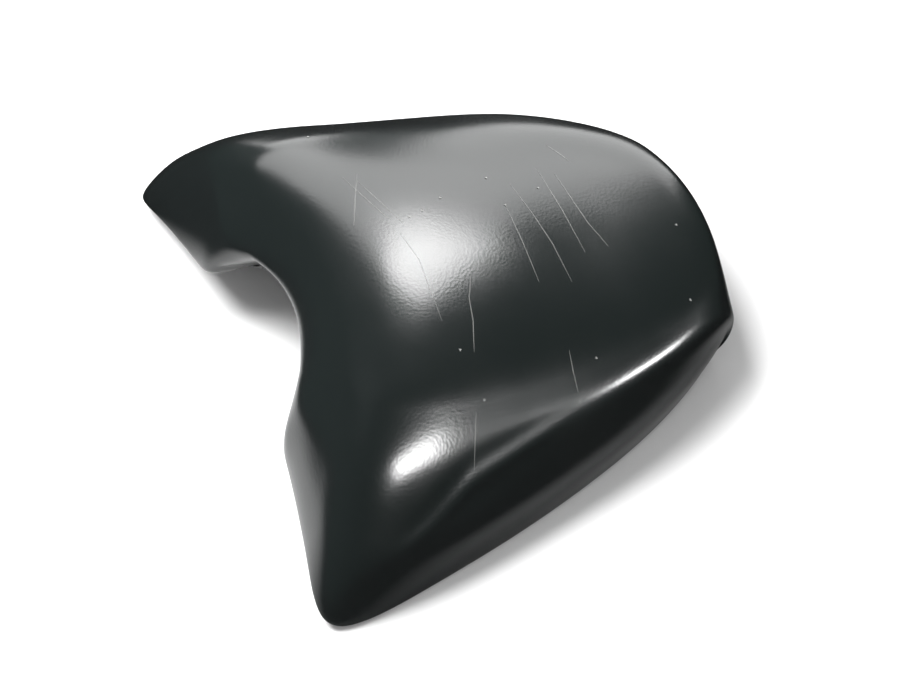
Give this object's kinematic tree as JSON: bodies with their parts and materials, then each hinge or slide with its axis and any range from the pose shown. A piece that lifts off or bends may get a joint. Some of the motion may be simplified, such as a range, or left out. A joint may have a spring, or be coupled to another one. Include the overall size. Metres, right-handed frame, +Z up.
{
  "type": "motorcycle pillion seat",
  "caption": "Pillion seat pad for a motorcycle: a black foam cushion with a seamless moulded skin and a notched front, on a ribbed base pan with a latch striker and a front tongue.",
  "frame": {"origin": "on the surface that the seat stands on, under the middle of its width and length", "axes": "+X across the seat, +Y back from the notch to the tail, +Z up"},
  "size_m": [0.2824, 0.2408, 0.0866],
  "materials": {
    "skin": "satin moulded skin with a fine grain and light scratches",
    "pan": "moulded black plastic",
    "steel": "zinc plated",
    "screw": "dark zinc plated",
    "brass": "machined",
    "buffer": "matt moulded rubber"
  },
  "bodies": {
    "root": {"cushion": "skin", "base_pan": "pan", "striker_plate": "steel", "striker_loop": "steel", "striker_screw_left": "screw", "striker_screw_right": "screw", "striker_washer_left": "steel", "striker_washer_right": "steel", "striker_insert_left": "brass", "striker_insert_right": "brass", "front_tongue": "steel", "tongue_screw_left": "screw", "tongue_screw_right": "screw", "buffer_front_left": "buffer", "buffer_front_right": "buffer", "buffer_rear_left": "buffer", "buffer_rear_right": "buffer"}
  },
  "joints": []
}
